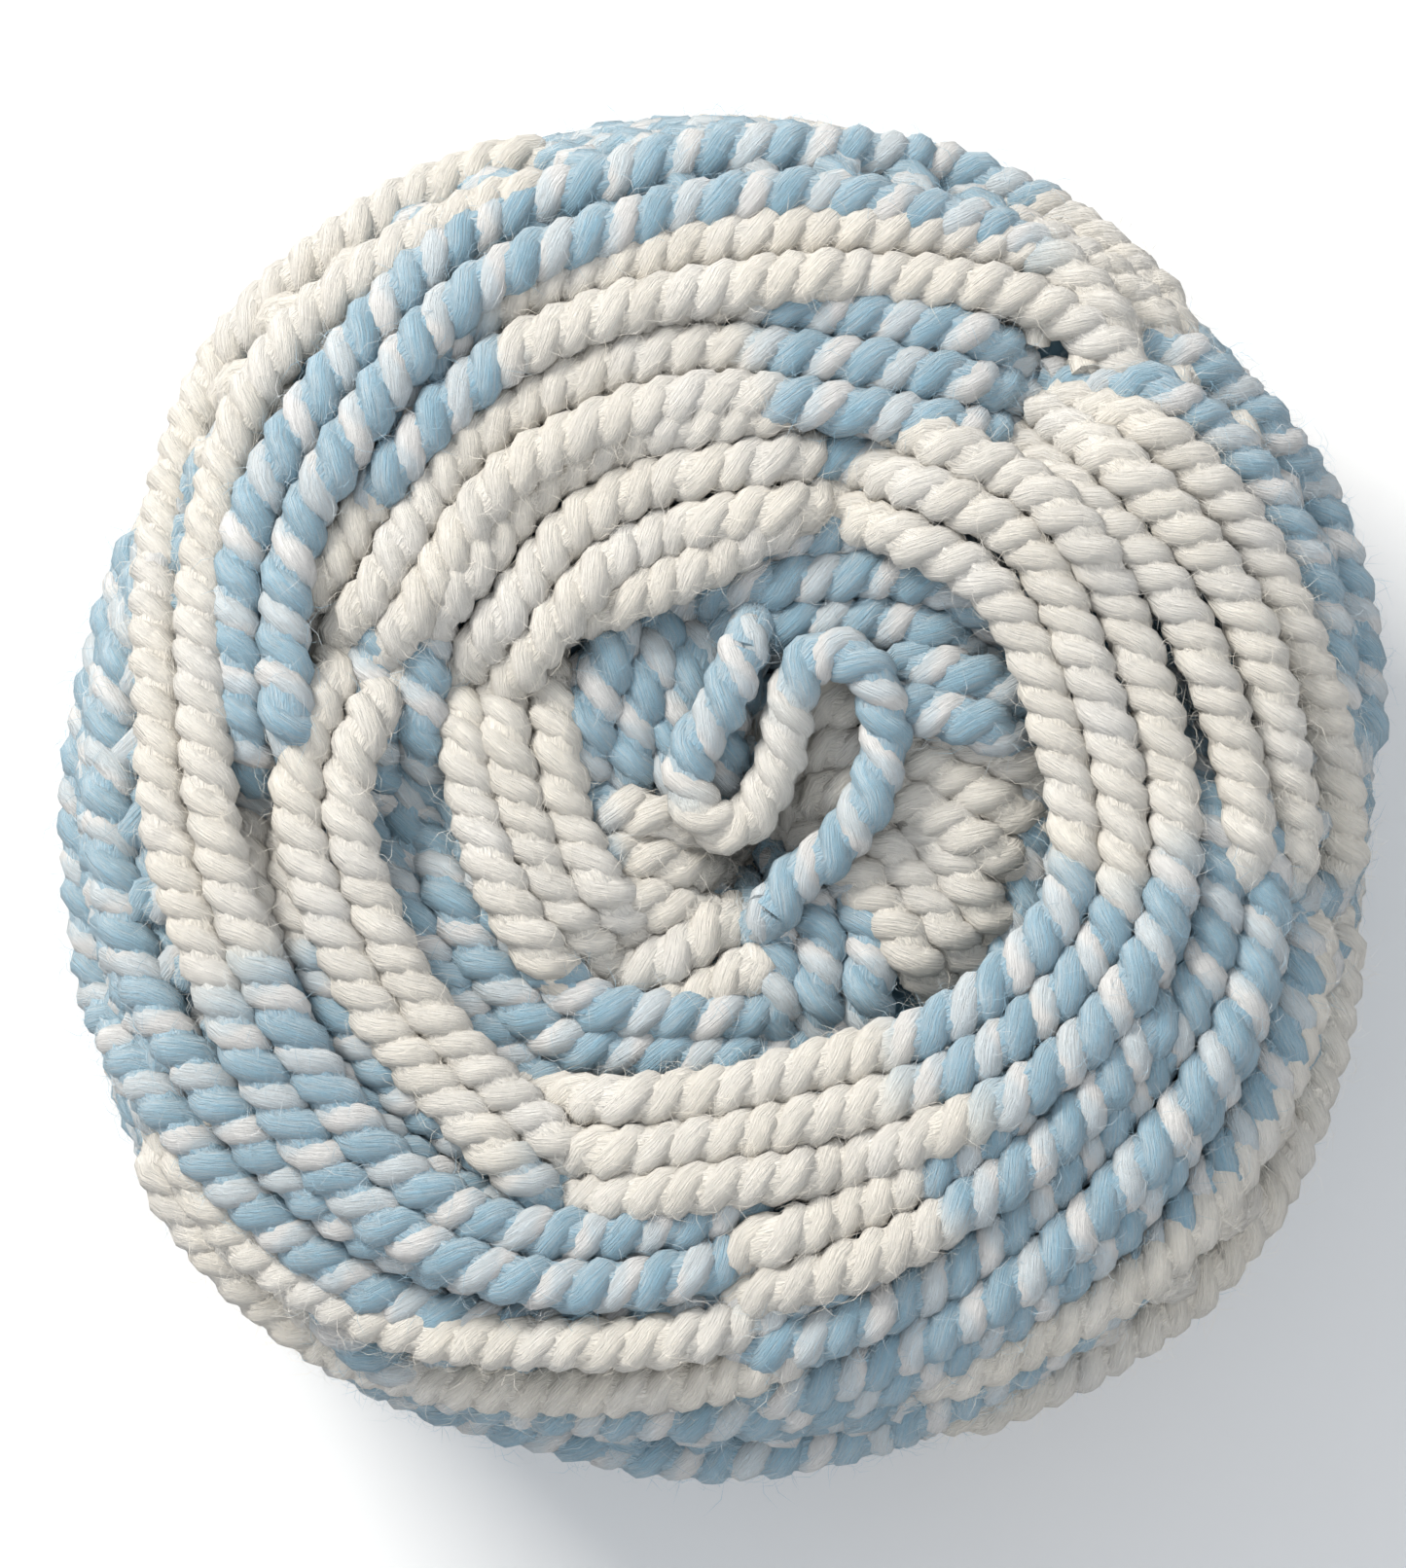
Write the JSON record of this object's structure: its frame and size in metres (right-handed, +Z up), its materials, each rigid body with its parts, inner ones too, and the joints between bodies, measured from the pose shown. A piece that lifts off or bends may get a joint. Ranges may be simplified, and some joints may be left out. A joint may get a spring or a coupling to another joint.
{
  "type": "ball of blanket yarn",
  "caption": "Machine-wound ball of thick two-ply blanket yarn lying on its end, turns spiralling around a shallow bowl, with the pulled inner end looped in it.",
  "frame": {"origin": "on the surface that the ball lies on, under the middle of the ball's box", "axes": "+Z up along the axis that the ball was wound around, from the resting end to the end with the bowl; +X and +Y across the ball, with the bowl a little towards +X and -Y"},
  "size_m": [0.1454, 0.1516, 0.1149],
  "materials": {
    "yarn": "soft matt acrylic"
  },
  "bodies": {
    "root": {"ball": "yarn", "loose_end": "yarn"}
  },
  "joints": []
}
